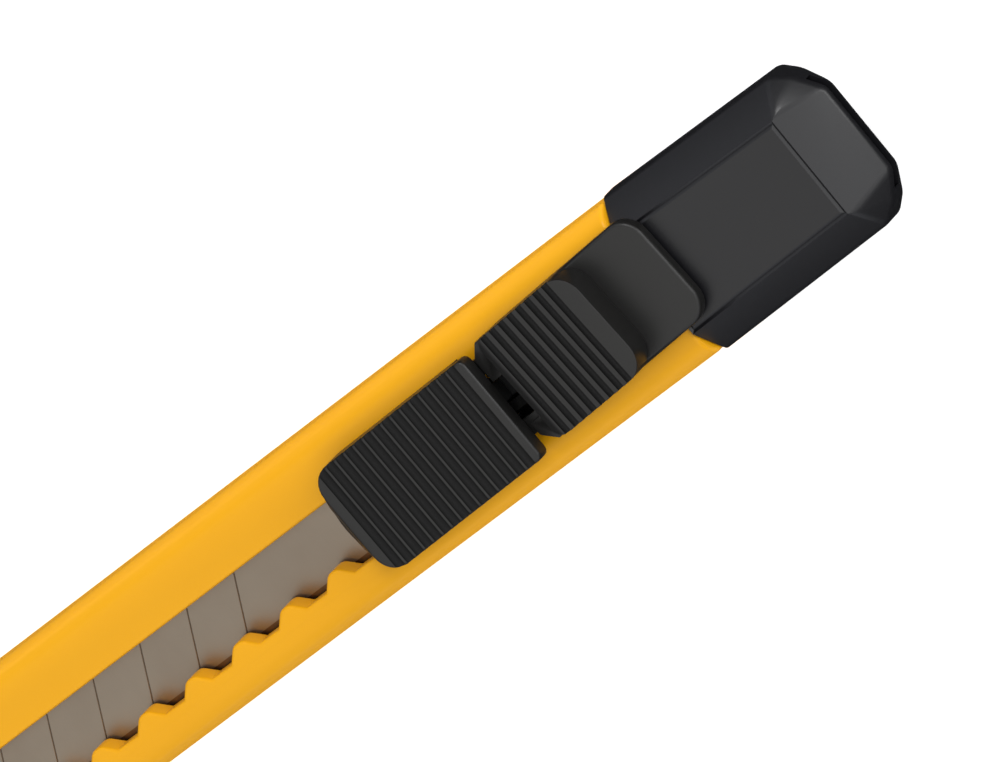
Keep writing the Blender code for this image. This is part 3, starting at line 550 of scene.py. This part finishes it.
# ---------------------------------------------------------------------------------------------
# Nose sheath: stainless strip folded round the blade's way out. Its tail is held between the
# casing halves, and its mouth is cut back on a slant so that the blade's point stays clear.
SHEATH_WALL = 0.4 * MM
SHEATH_FOLD = 0.45 * MM
sheath = add_block("folded_nose_sheath", sheath_low, sheath_high)
round_edges(sheath, lambda a, b: not near(a.x, b.x), SHEATH_FOLD, 4)
slice_at(sheath, (sheath_high.x, sheath_high.y - GRIND, 0), along_score)
pick(sheath, "FACE", lambda face: abs(face.normal.x) > 0.5)
bpy.ops.mesh.delete(type="FACE")
close_edit()
wall = sheath.modifiers.new("wall", "SOLIDIFY")
wall.thickness = SHEATH_WALL
wall.offset = -1
wall.use_even_offset = True
apply_all(sheath)

# Stainless strip: cold rolled, so it has a low satin gloss with faint lines along the roll.
stainless, tree, place = new_material("rolled_stainless_strip")
ROLL_LINE = 0.08 * MM
drawn = add_node(tree, "ShaderNodeMapping", {"Vector": place, "Scale": (0.02, 1.0, 1.0)})
lines = add_node(
    tree, "ShaderNodeTexNoise", {"Vector": drawn.outputs["Vector"], "Scale": 1 / ROLL_LINE, "Detail": 3.0}
)
tone = add_node(tree, "ShaderNodeValToRGB", {"Fac": lines.outputs["Fac"]})
tone.color_ramp.elements[0].color = srgb("#BDBBB7")
tone.color_ramp.elements[1].color = srgb("#CFCDC9")
gloss = add_node(tree, "ShaderNodeMapRange", {"Value": lines.outputs["Fac"], "To Min": 0.24, "To Max": 0.4})
relief = add_node(
    tree, "ShaderNodeBump", {"Height": lines.outputs["Fac"], "Strength": 0.1, "Distance": 0.004 * MM}
)
shader = add_node(
    tree,
    "ShaderNodeBsdfPrincipled",
    {
        "Base Color": tone.outputs["Color"],
        "Metallic": 1.0,
        "Roughness": gloss.outputs["Result"],
        "Normal": relief.outputs["Normal"],
    },
)
finish_material(tree, shader)
smooth(sheath)
sheath.data.materials.append(stainless)
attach(sheath, "handle")
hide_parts("nose_sheath")

# ---------------------------------------------------------------------------------------------
# Carriage: a black acetal holder under the blade, the steel peg that the blade hangs on, and the
# leaf spring that clicks along the teeth. They stay as the model has them and get their finish.
acetal, tree, place = new_material("black_moulded_acetal")
WAXY_GRAIN = 0.5 * MM
grain = add_node(tree, "ShaderNodeTexNoise", {"Vector": place, "Scale": 1 / WAXY_GRAIN, "Detail": 2.0})
tone = add_node(tree, "ShaderNodeValToRGB", {"Fac": grain.outputs["Fac"]})
tone.color_ramp.elements[0].color = srgb("#0F0F0F")
tone.color_ramp.elements[1].color = srgb("#161616")
gloss = add_node(tree, "ShaderNodeMapRange", {"Value": grain.outputs["Fac"], "To Min": 0.45, "To Max": 0.6})
shader = add_node(
    tree,
    "ShaderNodeBsdfPrincipled",
    {"Base Color": tone.outputs["Color"], "Roughness": gloss.outputs["Result"], "IOR": 1.48},
)
finish_material(tree, shader)

# Spring strip: blue-grey hardened steel, polished by the rolls.
spring_steel, tree, place = new_material("polished_spring_strip")
drawn = add_node(tree, "ShaderNodeMapping", {"Vector": place, "Scale": (0.02, 1.0, 1.0)})
lines = add_node(
    tree, "ShaderNodeTexNoise", {"Vector": drawn.outputs["Vector"], "Scale": 1 / ROLL_LINE, "Detail": 2.0}
)
tone = add_node(tree, "ShaderNodeValToRGB", {"Fac": lines.outputs["Fac"]})
tone.color_ramp.elements[0].color = srgb("#A2A5AA")
tone.color_ramp.elements[1].color = srgb("#B5B8BD")
gloss = add_node(tree, "ShaderNodeMapRange", {"Value": lines.outputs["Fac"], "To Min": 0.2, "To Max": 0.35})
shader = add_node(
    tree,
    "ShaderNodeBsdfPrincipled",
    {"Base Color": tone.outputs["Color"], "Metallic": 1.0, "Roughness": gloss.outputs["Result"]},
)
finish_material(tree, shader)
finishes = {"blade_holder": acetal, "blade_peg": stainless, "detent_spring": spring_steel}
for node, finish in finishes.items():
    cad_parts[node].material_slots[0].material = finish

# ---------------------------------------------------------------------------------------------
# Thumb pad: the front half of the slider, moulded in black ABS, with a bowed front edge and
# ribs across it for the thumb. Two rails run back from it under the lock slide.
PAD_LENGTH = 16.8 * MM
PAD_CORNER = 1.8 * MM
PAD_REAR_CORNER = 0.5 * MM
PAD_BOW = 0.8 * MM
PAD_CUTS = 7
LIP_RUN = 1.5 * MM
LIP_DROP = 1.0 * MM
RIB_PITCH = 0.97 * MM
FIRST_GROOVE = 2.13 * MM
PAD_GROOVES = 15
PAD_GROOVE_WIDTH = 0.78 * MM
PAD_GROOVE_DEPTH = 0.36 * MM
PAD_GROOVE_REACH = 12 * MM
RAIL_HALF = 3.4 * MM
RAIL_WIDTH = 1.3 * MM
RAIL_HEIGHT = 0.9 * MM
PAD_EDGE = 0.22 * MM
PAD_TURN = math.radians(1.0)
LOCK_TURN = math.radians(3.0)
UNDERCUT = Vector((1.7, 1.4)) * MM
MORTISE_REAR = 2.5 * MM
MORTISE_FRONT = 3 * MM
MORTISE_GAP = 0.2 * MM
RAIL_ROOT = 1 * MM
WELL_CLEAR = 1 * MM  # far enough from an edge or a face to leave it out
pad_rear_x = pad_high.x - PAD_LENGTH
pad_middle = (pad_low.y + pad_high.y) / 2

# ABS again, in black: a near-black body whose fine tool texture gives it a broad soft sheen. The
# grooves keep the rough face of the tool and are painted a darker black, as painted shade in the
# grooves, while thumbs have polished what stands above them.
SPARK_GRAIN = 0.12 * MM
black_finishes = {}
for name, dark, pale, dull in (
    ("black_worn_abs", "#161615", "#1B1A19", 0.4),
    # The groove finish's darker black is painted shade in the grooves.
    ("black_groove_abs_painted_shade", "#0B0B0B", "#10100F", 0.62),
):
    finish, tree, place = new_material(name)
    black_finishes[name] = finish
    grain = add_node(tree, "ShaderNodeTexNoise", {"Vector": place, "Scale": 1 / SPARK_GRAIN, "Detail": 3.0})
    tone = add_node(tree, "ShaderNodeValToRGB", {"Fac": grain.outputs["Fac"]})
    tone.color_ramp.elements[0].color = srgb(dark)
    tone.color_ramp.elements[1].color = srgb(pale)
    gloss = add_node(
        tree,
        "ShaderNodeMapRange",
        {"Value": grain.outputs["Fac"], "To Min": dull - 0.04, "To Max": dull + 0.08},
    )
    relief = add_node(
        tree, "ShaderNodeBump", {"Height": grain.outputs["Fac"], "Strength": 0.25, "Distance": 0.01 * MM}
    )
    shader = add_node(
        tree,
        "ShaderNodeBsdfPrincipled",
        {
            "Base Color": tone.outputs["Color"],
            "Roughness": gloss.outputs["Result"],
            "IOR": 1.53,
            "Specular IOR Level": 0.5 if dull < 0.5 else 0.28,
            "Normal": relief.outputs["Normal"],
        },
    )
    finish_material(tree, shader)


def cut_grooves(thing, places, width, depth, reach):
    """Cuts round-bottomed grooves across a pad. Each place is the middle of a groove on the surface."""
    radius = (width**2 / 4 + depth**2) / (2 * depth)
    for x, z in places:
        bpy.ops.object.select_all(action="DESELECT")
        bpy.ops.mesh.primitive_cylinder_add(
            vertices=24,
            radius=radius,
            depth=reach,
            location=(x, pad_middle, z - depth + radius),
            rotation=(math.pi / 2, 0, 0),
        )
        groove = bpy.context.object
        groove.name = "groove"
        # The cutter gives each groove the darker finish, whose colour is painted shade in the groove.
        groove.data.materials.append(black_finishes["black_groove_abs_painted_shade"])
        bpy.ops.object.transform_apply(location=True, rotation=True, scale=True)
        combine(thing, groove)


def turn(thing, angle, pivot):
    """Turns a piece a little in plan, as it sits in its play."""
    pick(thing, "VERT", lambda vert: True)
    bpy.ops.transform.rotate(value=-angle, orient_axis="Z", center_override=pivot)
    close_edit()


def upright_at(x):
    """A test for the upright edges that stand at one place along the handle."""
    return lambda a, b: near(a.x, x) and near(b.x, x) and near(a.y, b.y)


thumb_pad = add_block(
    "ribbed_thumb_pad", (pad_rear_x, pad_low.y, pad_low.z), (pad_high.x - PAD_BOW, pad_high.y, pad_high.z)
)
front_edge_x = pad_high.x - PAD_BOW
round_edges(thumb_pad, upright_at(front_edge_x), PAD_CORNER, 8)
round_edges(thumb_pad, upright_at(pad_rear_x), PAD_REAR_CORNER, 3)
pick(
    thumb_pad,
    "EDGE",
    lambda edge: all(near(v.co.x, front_edge_x) for v in edge.verts)
    and near(edge.verts[0].co.z, edge.verts[1].co.z),
)
bpy.ops.mesh.subdivide(number_cuts=PAD_CUTS)
close_edit()
bow_half = (pad_high.y - pad_low.y) / 2 - PAD_CORNER
for step in range(PAD_CUTS):
    share = 1 - (step + 1) / (PAD_CUTS + 1) * 2
    at_y = pad_middle + bow_half * share
    move(
        thumb_pad,
        lambda at: near(at.x, front_edge_x, 0.05 * MM) and near(at.y, at_y),
        (PAD_BOW * (1 - share**2), 0, 0),
    )
slice_at(thumb_pad, (pad_high.x - LIP_RUN, 0, pad_high.z), (LIP_DROP, 0, LIP_RUN))
round_edges(
    thumb_pad,
    lambda a, b: min(a.z, b.z) > pad_low.z + WELL_CLEAR
    and not (near(a.y, b.y) and near(a.x, b.x))
    and not (near(a.x, b.x) and near(a.x, pad_high.x - LIP_RUN)),
    PAD_EDGE,
    3,
)
thumb_pad.data.materials.append(black_finishes["black_worn_abs"])
grooves = [(pad_high.x - FIRST_GROOVE - k * RIB_PITCH, pad_high.z) for k in range(PAD_GROOVES)]
cut_grooves(thumb_pad, grooves, PAD_GROOVE_WIDTH, PAD_GROOVE_DEPTH, PAD_GROOVE_REACH)
undercut = add_block(
    "undercut",
    (pad_rear_x - OVERCUT, pad_low.y - OVERCUT, pad_low.z - OVERCUT),
    (pad_rear_x + UNDERCUT.x, pad_high.y + OVERCUT, pad_low.z + UNDERCUT.y),
)
combine(thumb_pad, undercut)
for side in (-1, 1):
    outer, inner = side * RAIL_HALF, side * (RAIL_HALF - RAIL_WIDTH)
    rail = add_block(
        "rail",
        (pad_low.x, min(outer, inner), pad_low.z),
        (pad_rear_x + UNDERCUT.x + RAIL_ROOT, max(outer, inner), pad_low.z + RAIL_HEIGHT),
    )
    combine(thumb_pad, rail, "UNION")
holder_low, holder_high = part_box("blade_holder")
mortise = add_block(
    "mortise",
    (pad_rear_x + MORTISE_REAR, straight_y, pad_low.z - OVERCUT),
    (pad_high.x - MORTISE_FRONT, tooth_y, holder_high.z + MORTISE_GAP),
)
combine(thumb_pad, mortise)

turn(thumb_pad, PAD_TURN, ((pad_rear_x + pad_high.x) / 2, pad_middle, 0))
smooth(thumb_pad, 30)
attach(thumb_pad, "slider")
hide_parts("thumb_pad")

# ---------------------------------------------------------------------------------------------
# Lock slide: the rear half of the slider, in the same black ABS. Its ribbed ramp climbs to a
# steep rear wall, and a flat tail reaches back over the end cap. It sits askew in its play.
lock_low, lock_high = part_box("lock_slide")
LOCK_GAP = 1.83 * MM
LOCK_LENGTH = 9.8 * MM
LOCK_SHIFT = -0.86 * MM
LOCK_WIDTH = 9.1 * MM
LOCK_FRONT_HEIGHT = 2.6 * MM
LOCK_CORNER = 1.9 * MM
LOCK_FRONT_CORNER = 0.9 * MM
CREST_ROUND = 0.42 * MM
LOCK_FLANGE = Vector((1.75, 1.3)) * MM
FLANGE_HALF = 4.5 * MM
FLANGE_ROOT = 1.5 * MM
FLANGE_CORNER = 1.0 * MM
FLANGE_EDGE = 0.1 * MM
HOLE_HALF = 2.0 * MM
HOLE_RUN = 3 * MM
HOLE_RISE = 2 * MM
TAIL = Vector((0.95, 1.8)) * MM
TAIL_EDGE = 0.28 * MM
TAIL_ROOT = 2.2 * MM
LOCK_GROOVES = 8
FIRST_LOCK_GROOVE = 0.95 * MM
LOCK_PITCH = 0.99 * MM
LOCK_GROOVE_WIDTH = 0.6 * MM
LOCK_GROOVE_DEPTH = 0.38 * MM
LOCK_GROOVE_REACH = 14 * MM
RAIL_GAP = 0.2 * MM
RAIL_END_GAP = 1.6 * MM
WEB_DROP = 0.1 * MM
WEB_ROOT = 0.4 * MM
MERGE = 0.001 * MM
lock_front_x = pad_rear_x - LOCK_GAP
wall_x = lock_front_x - LOCK_LENGTH
lock_middle = pad_middle + LOCK_SHIFT
side_low, side_high = lock_middle - LOCK_WIDTH / 2, lock_middle + LOCK_WIDTH / 2
ramp_low_z = pad_low.z + LOCK_FRONT_HEIGHT
ramp_rise = lock_high.z - ramp_low_z
tail_low_z = cap_high.z + RUNNING_GAP
tail_high_z = tail_low_z + TAIL.x
lock = add_block(
    "lock_slide_with_tail",
    (wall_x, side_low, pad_low.z),
    (lock_front_x, side_high, lock_high.z + OVERCUT),
)
round_edges(lock, upright_at(wall_x), LOCK_CORNER, 8)
round_edges(lock, upright_at(lock_front_x), LOCK_FRONT_CORNER, 5)
slice_at(lock, (lock_front_x, 0, ramp_low_z), (ramp_rise, 0, LOCK_LENGTH))
steepness = ramp_rise / LOCK_LENGTH


def on_ramp(at):
    return near(at.z, ramp_low_z + (lock_front_x - at.x) * steepness)


round_edges(
    lock,
    lambda a, b: on_ramp(a) and on_ramp(b) and min(a.x, b.x) < lock_front_x - WELL_CLEAR,
    CREST_ROUND,
    5,
)
lock.data.materials.append(black_finishes["black_worn_abs"])
steps_back = [FIRST_LOCK_GROOVE + k * LOCK_PITCH for k in range(LOCK_GROOVES)]
places = [(lock_front_x - back_by, ramp_low_z + back_by * steepness) for back_by in steps_back]
cut_grooves(lock, places, LOCK_GROOVE_WIDTH, LOCK_GROOVE_DEPTH, LOCK_GROOVE_REACH)
tail = add_block("tail", (lock_low.x, side_low, tail_low_z), (wall_x + TAIL_ROOT, side_high, tail_high_z))
round_edges(tail, upright_at(lock_low.x), TAIL.y, 8)
round_edges(
    tail,
    lambda a, b: near(a.z, tail_high_z)
    and near(b.z, tail_high_z)
    and min(a.x, b.x) < wall_x + WELL_CLEAR,
    TAIL_EDGE,
    4,
)
combine(lock, tail, "UNION")
flange = add_block(
    "flange",
    (lock_front_x - FLANGE_ROOT, lock_middle - FLANGE_HALF, pad_low.z),
    (lock_front_x + LOCK_FLANGE.x, lock_middle + FLANGE_HALF, pad_low.z + LOCK_FLANGE.y),
)
round_edges(flange, upright_at(lock_front_x + LOCK_FLANGE.x), FLANGE_CORNER, 1)
round_edges(flange, lambda a, b: min(a.z, b.z) > pad_low.z + WELL_CLEAR, FLANGE_EDGE, 2)
combine(lock, flange, "UNION")
opening = add_block(
    "opening",
    (lock_front_x, -HOLE_HALF, pad_low.z - OVERCUT),
    (lock_front_x + HOLE_RUN, HOLE_HALF, pad_low.z + HOLE_RISE),
)
combine(lock, opening)
turn(lock, LOCK_TURN, ((lock_front_x + lock_low.x) / 2, lock_middle, 0))
for side in (-1, 1):
    outer, inner = side * (RAIL_HALF + RAIL_GAP), side * (RAIL_HALF - RAIL_WIDTH - RAIL_GAP)
    groove = add_block(
        "rail_groove",
        (pad_low.x - RAIL_END_GAP, min(outer, inner), pad_low.z - OVERCUT),
        (lock_front_x + HOLE_RUN, max(outer, inner), pad_low.z + RAIL_HEIGHT + RAIL_GAP),
    )
    combine(lock, groove)

# Below the casing's face the slide has a web, which runs in the slot, and the tongue that lifts
# the spring. They are taken from the model and reach a little way up into the body.
web = copy_of(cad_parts["lock_slide"], "web_and_tongue")
web.data.materials.clear()
web.data.materials.append(black_finishes["black_worn_abs"])
pick(web, "VERT", lambda vert: True)
bpy.ops.mesh.remove_doubles(threshold=MERGE)
close_edit()
web_top = pad_low.z - WEB_DROP
slice_at(web, (0, 0, web_top), (0, 0, 1))
move(web, lambda at: near(at.z, web_top), (0, 0, WEB_ROOT))
combine(lock, web, "UNION")
smooth(lock, 30)
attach(lock, "lock")
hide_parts("lock_slide")

# ---------------------------------------------------------------------------------------------
# End cap: black ABS in flat facets round the casing's spigot, with a slit across its rear wall
# in which a worn blade segment is held and snapped off. It pulls off to reach the blade.
PANEL_HALF = 4.42 * MM
PANEL_REAR = 3.35 * MM
RIM_DROP = 2.3 * MM
CAP_TAPER = 0.24 * MM
CORNER_RUN = 3.0 * MM
BREAK_RUN = 1.5 * MM
BREAK_INSET = 1.0 * MM
SIDE_LOW = 2.2 * MM
REAR_WALL = 1.4 * MM
PANEL_GROOVE = Vector((0.2, 0.13)) * MM
CREASE = 0.32 * MM
SLIT = Vector((5.6, 9.8, 0.8)) * MM
SOCKET_GAP = 0.2 * MM
half = cap_high.y
rear_half = half - CAP_TAPER
panel_z = cap_high.z
rim_z = cap_high.z - RIM_DROP
rear_low = rim_z - REAR_WALL
cap = add_block("faceted_end_cap", (cap_low.x, -half, 0), (joint_x, half, panel_z))
cap_middle = Vector(((cap_low.x + joint_x) / 2, 0, panel_z / 2))


def cut_facet(a, b, c):
    """Takes off what lies outside the plane through three points."""
    normal = (Vector(b) - Vector(a)).cross(Vector(c) - Vector(a)).normalized()
    if normal.dot(Vector(a) - cap_middle) < 0:
        normal = -normal
    slice_at(cap, a, normal)


rear_x = cap_low.x
for side in (-1, 1):
    corner = [
        (rear_x + CORNER_RUN, side * rear_half),
        (rear_x + BREAK_RUN, side * (rear_half - BREAK_INSET)),
        (rear_x, side * (rear_half - CORNER_RUN)),
    ]
    lows = (SIDE_LOW, (SIDE_LOW + rear_low) / 2, rear_low)
    upper = [(x, y, rim_z) for x, y in corner]
    lower = [(x, y, low) for (x, y), low in zip(corner, lows)]
    panel_corner = (rear_x + PANEL_REAR, side * PANEL_HALF, panel_z)
    sole_corner = (rear_x + PANEL_REAR, side * PANEL_HALF, 0)
    cut_facet((joint_x, side * half, 0), (joint_x, side * half, panel_z), upper[0])
    for rim, apex in ((upper, panel_corner), (lower, sole_corner)):
        cut_facet((joint_x, side * PANEL_HALF, apex[2]), apex, rim[0])
        cut_facet(apex, rim[0], rim[1])
        cut_facet(apex, rim[1], rim[2])
    for near_end, far_end in ((0, 1), (1, 2)):
        a, b = upper[near_end], upper[far_end]
        cut_facet(a, b, (*b[:2], 0))
for level, low in ((panel_z, rim_z), (0, rear_low)):
    a = (rear_x + PANEL_REAR, -PANEL_HALF, level)
    b = (rear_x + PANEL_REAR, PANEL_HALF, level)
    cut_facet(a, b, (rear_x, 0, low))
round_edges(
    cap,
    lambda a, b: not (near(a.z, panel_z) and near(b.z, panel_z)) and min(a.x, b.x) < joint_x - 0.1 * MM,
    CREASE,
    4,
)
pick(cap, "FACE", lambda face: face.normal.z > 0.999 and face.calc_center_median().z > panel_z - 0.05 * MM)
bpy.ops.mesh.inset(thickness=PANEL_GROOVE.x, depth=-PANEL_GROOVE.y)
bpy.ops.mesh.inset(thickness=PANEL_GROOVE.x, depth=PANEL_GROOVE.y)
close_edit()
socket = add_block(
    "spigot_socket",
    (front_low.x - SOCKET_GAP, -spigot_half - SOCKET_GAP, SPIGOT_INSET - SOCKET_GAP),
    (joint_x + OVERCUT, spigot_half + SOCKET_GAP, handle_top - SPIGOT_INSET + SOCKET_GAP),
)
combine(cap, socket)
slit_z = rim_z - REAR_WALL / 2
slit = add_block(
    "snapping_slit",
    (rear_x - OVERCUT, -SLIT.y / 2, slit_z - SLIT.z / 2),
    (rear_x + SLIT.x, SLIT.y / 2, slit_z + SLIT.z / 2),
)
combine(cap, slit)

# The cap's ABS is a cooler black, in a finer texture that leaves a soft satin light on each facet.
cap_abs, tree, place = new_material("black_satin_abs")
SATIN_GRAIN = 0.16 * MM
grain = add_node(tree, "ShaderNodeTexNoise", {"Vector": place, "Scale": 1 / SATIN_GRAIN, "Detail": 3.0})
tone = add_node(tree, "ShaderNodeValToRGB", {"Fac": grain.outputs["Fac"]})
tone.color_ramp.elements[0].color = srgb("#131316")
tone.color_ramp.elements[1].color = srgb("#18181B")
gloss = add_node(tree, "ShaderNodeMapRange", {"Value": grain.outputs["Fac"], "To Min": 0.31, "To Max": 0.42})
relief = add_node(
    tree, "ShaderNodeBump", {"Height": grain.outputs["Fac"], "Strength": 0.2, "Distance": 0.01 * MM}
)
shader = add_node(
    tree,
    "ShaderNodeBsdfPrincipled",
    {
        "Base Color": tone.outputs["Color"],
        "Roughness": gloss.outputs["Result"],
        "IOR": 1.53,
        "Normal": relief.outputs["Normal"],
    },
)
finish_material(tree, shader)
smooth(cap, 25)
cap.data.materials.append(cap_abs)
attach(cap, "cap")
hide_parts("end_cap")
